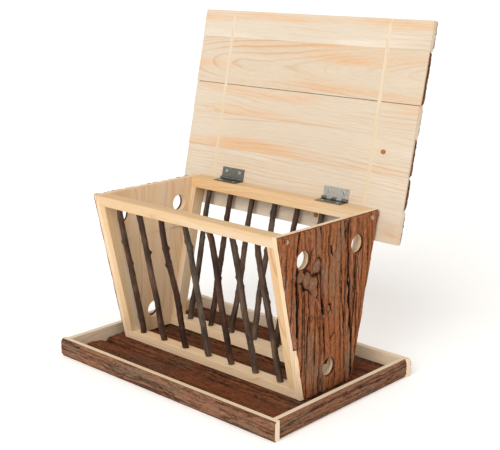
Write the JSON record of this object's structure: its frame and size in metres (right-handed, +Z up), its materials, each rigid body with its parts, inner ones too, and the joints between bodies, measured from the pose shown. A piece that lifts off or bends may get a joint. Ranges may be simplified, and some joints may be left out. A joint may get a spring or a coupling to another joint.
{
  "type": "small-animal hay rack",
  "caption": "V-shaped wooden hay rack with twig bars and bark-faced ends, on a bark tray, with a hinged plank lid standing open.",
  "frame": {"origin": "middle of the tray's underside, on the surface it stands on", "axes": "+X to the right along the tray, +Y to the rear where the lid is hinged, +Z up"},
  "size_m": [0.382, 0.2881, 0.4461],
  "materials": {
    "pine": "planed bare softwood",
    "lid_board": "planed bare softwood inside, bark outside",
    "bark_board": "rough bark outside, planed softwood inside",
    "bark_rail": "rough bark outside, sawn softwood inside",
    "floor_bark": "rough bark upwards",
    "twig": "unpeeled twig",
    "zinc_steel": "dull zinc plating"
  },
  "bodies": {
    "rack": {"tray_front_rail": "bark_rail", "tray_rear_rail": "bark_rail", "tray_left_rail": "bark_rail", "tray_right_rail": "bark_rail", "floor_slab_1": "floor_bark", "floor_slab_2": "floor_bark", "floor_slab_3": "floor_bark", "floor_slab_4": "floor_bark", "floor_slab_5": "floor_bark", "left_end_plank_front": "bark_board", "left_end_plank_middle": "bark_board", "left_end_plank_rear": "bark_board", "left_panel_key": "pine", "right_end_plank_front": "bark_board", "right_end_plank_middle": "bark_board", "right_end_plank_rear": "bark_board", "right_panel_key": "pine", "front_top_rail": "pine", "front_bottom_rail": "pine", "front_left_stile": "pine", "front_right_stile": "pine", "rear_top_rail": "pine", "rear_bottom_rail": "pine", "rear_left_stile": "pine", "rear_right_stile": "pine", "front_twig_1": "twig", "front_twig_2": "twig", "front_twig_3": "twig", "front_twig_4": "twig", "front_twig_5": "twig", "front_twig_6": "twig", "front_twig_7": "twig", "rear_twig_1": "twig", "rear_twig_2": "twig", "rear_twig_3": "twig", "rear_twig_4": "twig", "rear_twig_5": "twig", "rear_twig_6": "twig", "rear_twig_7": "twig", "left_hinge_rail_leaf": "zinc_steel", "left_hinge_pin": "zinc_steel", "right_hinge_rail_leaf": "zinc_steel", "right_hinge_pin": "zinc_steel", "hinge_screws_rail": "zinc_steel", "panel_screws": "zinc_steel", "base_screws": "zinc_steel", "tray_nails": "zinc_steel"},
    "lid": {"lid_plank_1": "lid_board", "lid_plank_2": "lid_board", "lid_plank_3": "lid_board", "lid_plank_4": "lid_board", "lid_plank_5": "lid_board", "lid_plank_6": "lid_board", "lid_spline_left": "pine", "lid_spline_right": "pine", "left_hinge_lid_leaf": "zinc_steel", "right_hinge_lid_leaf": "zinc_steel", "hinge_screws_lid": "zinc_steel"}
  },
  "joints": [
    {"name": "lid_hinge", "type": "hinge", "parent": "rack", "child": "lid", "pos_m": [0, 0.093, 0.2223], "axis": [1, 0, 0], "range_deg": [0, 103.9]}
  ]
}
